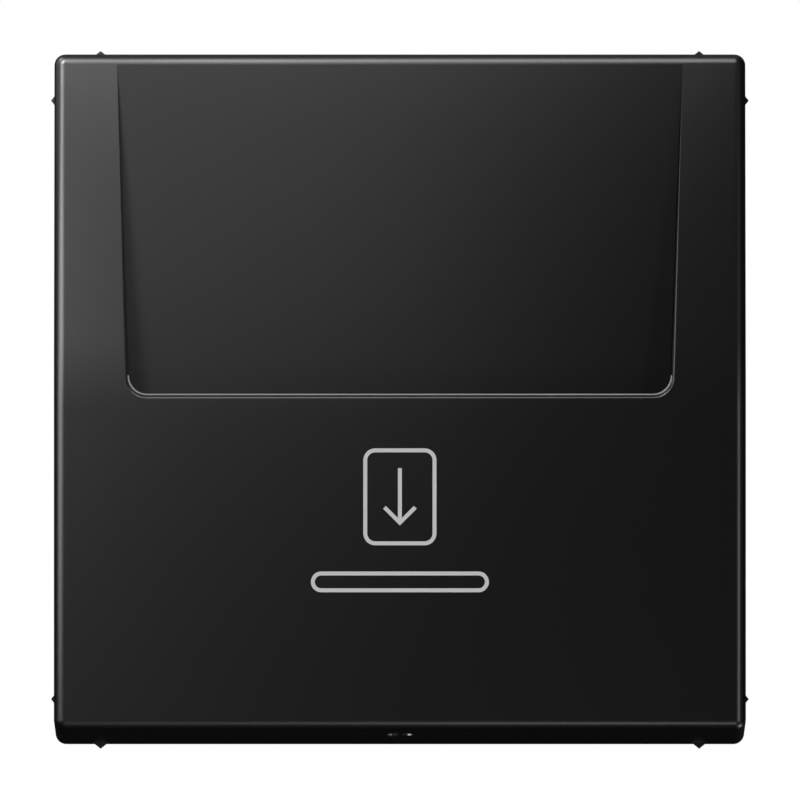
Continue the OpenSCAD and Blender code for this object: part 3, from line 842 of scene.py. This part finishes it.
LEAF_X, LEAF_Y, LEAF_LEG, LEAF_R, LEAF_T, LEAF_W = 10.6, 16.5, 5.9, 1.0, 0.35, 4.4
LEAF_TURN, LEAF_TONGUE, LEAF_STEPS = math.radians(42.7), 7.21, 12
leaf_angles = np.linspace(math.pi, math.pi / 2 - LEAF_TURN, LEAF_STEPS + 1)
for name, node, joint, sign in (
    ("left_leaf_spring", "left_clamp_spring", "left_release_slide", -1),
    ("right_leaf_spring", "right_clamp_spring", "right_release_slide", 1),
):
    outline = []
    for r, turns in ((LEAF_R, 1), (LEAF_R - LEAF_T, -1)):
        arc = [(r * math.cos(a), r * math.sin(a)) for a in leaf_angles]
        tip = (
            LEAF_TONGUE * math.cos(LEAF_TURN) + r * math.sin(LEAF_TURN),
            r * math.cos(LEAF_TURN) - LEAF_TONGUE * math.sin(LEAF_TURN),
        )
        outline += ([(-r, -LEAF_LEG)] + arc + [tip])[::turns]
    leaf = Skin()
    extruded(
        leaf, lambda a, b, w: np.array((sign * (LEAF_X + a), LEAF_Y + b, WIRE_Z + w), float),
        -LEAF_W / 2, LEAF_W / 2, outline[::-1],
    )
    sprung(
        leaf, name, node,
    )


GRAIN_DEPTH = 0.00001
NOISE_LOW, NOISE_HIGH = 0.3, 0.7


def set_range(node, *values):
    for socket, value in zip(("From Min", "From Max", "To Min", "To Max"), values):
        node.inputs[socket].default_value = value


def finish(
    name, colour, other, roughness, rough_spread, grain, bump,
    metallic=0.0, stretch=(1, 1, 1), cloud=90.0, **sockets,
):
    """A material with slow colour changes, uneven gloss and a fine grain; scales are per metre."""
    material = bpy.data.materials.new(name)
    material.use_nodes = True
    make, link = material.node_tree.nodes.new, material.node_tree.links.new
    shader = material.node_tree.nodes["Principled BSDF"]
    shader.inputs["Metallic"].default_value = metallic
    for socket, value in sockets.items():
        shader.inputs[socket.replace("_", " ")].default_value = value
    place = make("ShaderNodeTexCoord")
    scaled = make("ShaderNodeMapping")
    scaled.inputs["Scale"].default_value = stretch
    link(place.outputs["Object"], scaled.inputs["Vector"])
    noises = []
    for scale, detail in ((cloud, 3.0), (grain, 2.0)):
        noise = make("ShaderNodeTexNoise")
        noise.inputs["Scale"].default_value = scale
        noise.inputs["Detail"].default_value = detail
        link(scaled.outputs["Vector"], noise.inputs["Vector"])
        noises.append(noise)
    slow, fine = noises
    ramp = make("ShaderNodeValToRGB")
    first, last = ramp.color_ramp.elements
    first.position, last.position = NOISE_LOW, NOISE_HIGH
    first.color, last.color = (*colour, 1), (*other, 1)
    link(slow.outputs["Fac"], ramp.inputs["Fac"])
    link(ramp.outputs["Color"], shader.inputs["Base Color"])
    gloss = make("ShaderNodeMapRange")
    set_range(gloss, NOISE_LOW, NOISE_HIGH, roughness - rough_spread, roughness + rough_spread)
    link(fine.outputs["Fac"], gloss.inputs["Value"])
    link(gloss.outputs["Result"], shader.inputs["Roughness"])
    relief = make("ShaderNodeBump")
    relief.inputs["Strength"].default_value = bump
    relief.inputs["Distance"].default_value = GRAIN_DEPTH
    link(fine.outputs["Fac"], relief.inputs["Height"])
    link(relief.outputs["Normal"], shader.inputs["Normal"])
    return material


MOULDED_EDGE, NODE_EDGE = 0.00015, 0.00012
WELD_GAP, FLAT_ANGLE, SHARP_ANGLE = 1e-6, math.radians(0.5), math.radians(40)


def soften(obj, width):
    """Small roundings on all sharp edges; the width is in metres."""
    weld = obj.modifiers.new("weld", "WELD")
    weld.merge_threshold = WELD_GAP
    planes = obj.modifiers.new("planes", "DECIMATE")
    planes.decimate_type = "DISSOLVE"
    planes.angle_limit = FLAT_ANGLE
    bevel = obj.modifiers.new("bevel", "BEVEL")
    bevel.width = width
    bevel.segments = 2
    bevel.limit_method = "ANGLE"
    bevel.angle_limit = SHARP_ANGLE
    bevel.harden_normals = True


BRUSHED = (1.0, 1.0, 0.06)
materials = {
    slot: finish(slot, *values, **sockets) for slot, values, sockets in (
        (
            "black_cover",
            ((0.0010, 0.0010, 0.0010), (0.0012, 0.0012, 0.0012), 0.365, 0.015, 9000, 0.05),
            {"Specular_IOR_Level": 0.875},
        ),
        (
            "dark_plastic",
            ((0.018, 0.018, 0.019), (0.026, 0.026, 0.027), 0.5, 0.05, 7000, 0.25), {},
        ),
        ("white_plastic", ((0.69, 0.69, 0.65), (0.74, 0.74, 0.70), 0.42, 0.04, 7000, 0.2), {}),
        ("grey_plastic", ((0.27, 0.28, 0.29), (0.32, 0.33, 0.34), 0.45, 0.05, 7000, 0.2), {}),
        (
            "steel", ((0.50, 0.50, 0.51), (0.60, 0.60, 0.61), 0.36, 0.07, 6000, 0.25),
            {"metallic": 1.0, "stretch": BRUSHED, "cloud": 300},
        ),
        (
            "zinc_screw", ((0.56, 0.55, 0.51), (0.66, 0.65, 0.61), 0.32, 0.06, 5000, 0.2),
            {"metallic": 1.0, "cloud": 600},
        ),
        (
            "spring_steel", ((0.48, 0.48, 0.49), (0.58, 0.58, 0.59), 0.28, 0.05, 6000, 0.2),
            {"metallic": 1.0, "cloud": 500},
        ),
        (
            "brass", ((0.66, 0.47, 0.18), (0.78, 0.60, 0.28), 0.33, 0.06, 6000, 0.2),
            {"metallic": 1.0, "cloud": 400},
        ),
        (
            "silver", ((0.78, 0.77, 0.74), (0.88, 0.87, 0.84), 0.3, 0.05, 5000, 0.15),
            {"metallic": 1.0, "cloud": 800},
        ),
    )
}
bushing_piece.data.materials.append(materials["zinc_screw"])
# the bead's light grey is a painted highlight line along the lip's edge, not the colour of a real
# trim
painted_highlight_bead_piece.data.materials.append(
    finish("painted_highlight_bead", (0.36, 0.36, 0.36), (0.41, 0.41, 0.41), 0.5, 0.05, 9000, 0.1)
)
print_piece.data.materials.append(
    finish("sign_ink", (0.46, 0.47, 0.468), (0.49, 0.50, 0.498), 0.6, 0.06, 9000, 0.15)
)
cover_piece.data.materials.append(materials["black_cover"])
for piece in moulded:
    piece.data.materials.append(materials["white_plastic"])
    soften(piece, MOULDED_EDGE)
for piece in springs:
    piece.data.materials.append(materials["spring_steel"])

for part in frame["record"]["subparts"]:
    obj = nodes[part["node"]]
    for slot in obj.material_slots:
        slot.material = materials[part["material_slot"]]
    if part["node"] != "front_cover":
        soften(obj, NODE_EDGE)

# camera straight in front, as far off and as narrow as the photograph's
SENSOR, FOCAL = 36, 876.4
CAMERA_PLACE = (0.000012, -1.9812, -0.000012)
scene = bpy.context.scene
scene.view_settings.view_transform = "Standard"
lens = bpy.data.cameras.new("camera")
lens.sensor_width = SENSOR
lens.lens = FOCAL
lens.clip_end = 10
camera = bpy.data.objects.new("camera", lens)
camera.location = CAMERA_PLACE
camera.rotation_euler = (math.pi / 2, 0, 0)
scene.collection.objects.link(camera)
scene.camera = camera


def group(name, objects):
    made = bpy.data.collections.new(name)
    for obj in objects:
        made.objects.link(obj)
    return made


WIDE_BEAM, NARROW_BEAM = math.pi, math.radians(24)


def lamp(name, place, aim, width, height, radiance, lit, blocked_by=None, spread=WIDE_BEAM):
    """A soft box; its sides are in metres and its level is the brightness of its face.

    A narrow beam gathers the same power into a smaller angle.
    """
    data = bpy.data.lights.new(name, "AREA")
    data.shape = "RECTANGLE"
    data.size, data.size_y = width, height
    data.spread = spread
    data.energy = radiance * math.pi * width * height
    obj = bpy.data.objects.new(name, data)
    obj.location = place
    obj.rotation_mode = "QUATERNION"
    obj.rotation_quaternion = (Vector(aim) - Vector(place)).to_track_quat("-Z", "Y")
    obj.visible_camera = False
    obj.light_linking.receiver_collection = lit
    if blocked_by:
        obj.light_linking.blocker_collection = blocked_by
    scene.collection.objects.link(obj)


# plain pale floor, far enough below to stay out of the front view, and clear from below
FLOOR_Z = -0.085
FLOOR_HALF = 0.45
FADE_NEAR, FADE_FAR, FADE_LOW = 0.15, 0.42, 0.6
sheet = bpy.data.meshes.new("floor")
floor_signs = (-1, -1), (1, -1), (1, 1), (-1, 1)
floor_corners = [(sx * FLOOR_HALF, sy * FLOOR_HALF, FLOOR_Z) for sx, sy in floor_signs]
sheet.from_pydata(floor_corners, [], [(0, 1, 2, 3)])
floor = bpy.data.objects.new("floor", sheet)
scene.collection.objects.link(floor)
floor.visible_glossy = False
paper = bpy.data.materials.new("floor")
paper.use_nodes = True
make, link = paper.node_tree.nodes.new, paper.node_tree.links.new
paper.node_tree.nodes.remove(paper.node_tree.nodes["Principled BSDF"])
place = make("ShaderNodeTexCoord")
away = make("ShaderNodeVectorMath")
away.operation = "LENGTH"
link(place.outputs["Object"], away.inputs[0])
fade = make("ShaderNodeMapRange")
set_range(fade, FADE_NEAR, FADE_FAR, FADE_LOW, 1.0)
link(away.outputs["Value"], fade.inputs["Value"])
rays = make("ShaderNodeLightPath")
seen = make("ShaderNodeMath")
seen.operation = "MULTIPLY"
link(rays.outputs["Is Camera Ray"], seen.inputs[0])
link(fade.outputs["Result"], seen.inputs[1])
pale = make("ShaderNodeBsdfDiffuse")
pale.inputs["Color"].default_value = (0.8, 0.8, 0.8, 1)
white = make("ShaderNodeEmission")
mix = make("ShaderNodeMixShader")
link(seen.outputs["Value"], mix.inputs["Fac"])
link(pale.outputs["BSDF"], mix.inputs[1])
link(white.outputs["Emission"], mix.inputs[2])
clear = make("ShaderNodeBsdfTransparent")
facing = make("ShaderNodeNewGeometry")
one_sided = make("ShaderNodeMixShader")
link(facing.outputs["Backfacing"], one_sided.inputs["Fac"])
link(mix.outputs["Shader"], one_sided.inputs[1])
link(clear.outputs["BSDF"], one_sided.inputs[2])
link(one_sided.outputs["Shader"], paper.node_tree.nodes["Material Output"].inputs["Surface"])
sheet.materials.append(paper)

# small boxes shape the gloss of the black cover, and large ones light all the rest
the_cover = group("the_cover", [cover_piece])
behind = [obj for node, obj in nodes.items() if node != "front_cover"]
behind += moulded + springs
the_rest = group("the_rest", behind + [painted_highlight_bead_piece, print_piece, floor])
not_cover = group("not_cover", behind)
the_object = group("the_object", behind + [cover_piece, painted_highlight_bead_piece, print_piece, bushing_piece])
the_bushing = group("the_bushing", [bushing_piece])
lamp("left_box", (-0.082, -0.066, 0.003), (0.154, 0, -0.279), 0.068, 0.084, 1.56, the_cover)
lamp(
    "left_fill", (-0.082, -0.066, 0.003), (0.154, 0, -0.279),
    0.068, 0.084, 2.07, the_cover, not_cover,
)
lamp("top_box", (-0.150, -0.207, 0.201), (-0.300, 0, 0.277), 0.212, 0.240, 42.5, the_cover)
lamp("right_box", (0.314, -0.336, -0.041), (-0.104, 0, -0.042), 0.046, 0.050, 23.4, the_cover)
lamp(
    "low_box", (0.054, -0.230, -0.179), (-0.456, 0, -0.457),
    0.050, 0.060, 42.1, the_cover, the_object,
)
lamp(
    "low_right_box", (0.564, -0.052, -0.602), (-0.040, 0, -0.026),
    0.140, 0.210, 15.3, the_cover, the_object,
)
lamp("near_top_box", (-0.068, -0.015, 0.045), (-0.060, 0, -0.359), 0.198, 0.038, 1.16, the_cover)
lamp("lip_box", (0.007, -0.029, 0.056), (0.006, 0, -0.083), 0.064, 0.020, 4.41, the_cover)
lamp("ramp_box", (-0.010, -0.087, 0.021), (-0.010, 0, 0.016), 0.030, 0.030, 0.44, the_cover)
lamp(
    "corner_box", (-0.060, -0.018, 0.110), (0.026, -0.012, 0.0015),
    0.060, 0.060, 0.3, the_cover, spread=NARROW_BEAM,
)
lamp("front_panel", (0, -1.2, 0.2), (0, 0, 0), 1.2, 1.2, 2.0, the_rest)
lamp("back_panel", (0, 1.2, 0.2), (0, 0, 0), 1.2, 1.2, 0.7, the_rest)
lamp("back_left", (-0.60, 0.55, 0.30), (0, 0.01, 0), 0.6, 0.7, 1.3, the_rest)
lamp("back_right", (0.60, 0.55, 0.30), (0, 0.01, 0), 0.6, 0.7, 0.9, the_rest)
lamp("back_low_left", (-0.50, 0.60, -0.25), (0, 0.01, 0), 0.9, 0.5, 0.55, the_rest, the_object)
lamp("back_low_right", (0.50, 0.60, -0.25), (0, 0.01, 0), 0.9, 0.5, 0.45, the_rest, the_object)
lamp(
    "bore_left", (-0.29, 0.067, -0.034), (0, -0.008, -0.034),
    0.19, 0.15, 1.2, the_bushing, not_cover,
)
lamp(
    "bore_right", (0.29, 0.067, -0.034), (0, -0.008, -0.034),
    0.19, 0.15, 0.36, the_bushing, not_cover,
)

# white surroundings for the camera, and dim ones that light the object
AMBIENT = 0.5
GLOSS_LOW, GLOSS_HIGH = 0.004, 0.16
GLOSS_FROM = (0, 0.5, 0.87)
GLOSS_START, GLOSS_FULL = 0.6, 0.95  # cosines of the angle from there
world = bpy.data.worlds.new("world")
scene.world = world
world.use_nodes = True
make, link = world.node_tree.nodes.new, world.node_tree.links.new


def background(strength):
    node = make("ShaderNodeBackground")
    node.inputs["Color"].default_value = (1, 1, 1, 1)
    node.inputs["Strength"].default_value = strength
    return node


white, ambient, glossy = background(1.0), background(AMBIENT), background(GLOSS_LOW)
place = make("ShaderNodeTexCoord")
upward = make("ShaderNodeVectorMath")
upward.operation = "DOT_PRODUCT"
upward.inputs[1].default_value = GLOSS_FROM
link(place.outputs["Generated"], upward.inputs[0])
rise = make("ShaderNodeMapRange")
set_range(rise, GLOSS_START, GLOSS_FULL, GLOSS_LOW, GLOSS_HIGH)
link(upward.outputs["Value"], rise.inputs["Value"])
link(rise.outputs["Result"], glossy.inputs["Strength"])
rays = make("ShaderNodeLightPath")
either = make("ShaderNodeMath")
either.operation = "MAXIMUM"
link(rays.outputs["Is Camera Ray"], either.inputs[0])
link(rays.outputs["Is Transmission Ray"], either.inputs[1])
unlit = make("ShaderNodeMixShader")
link(rays.outputs["Is Glossy Ray"], unlit.inputs["Fac"])
link(ambient.outputs["Background"], unlit.inputs[1])
link(glossy.outputs["Background"], unlit.inputs[2])
mix = make("ShaderNodeMixShader")
link(either.outputs["Value"], mix.inputs["Fac"])
link(unlit.outputs["Shader"], mix.inputs[1])
link(white.outputs["Background"], mix.inputs[2])
link(mix.outputs["Shader"], world.node_tree.nodes["World Output"].inputs["Surface"])
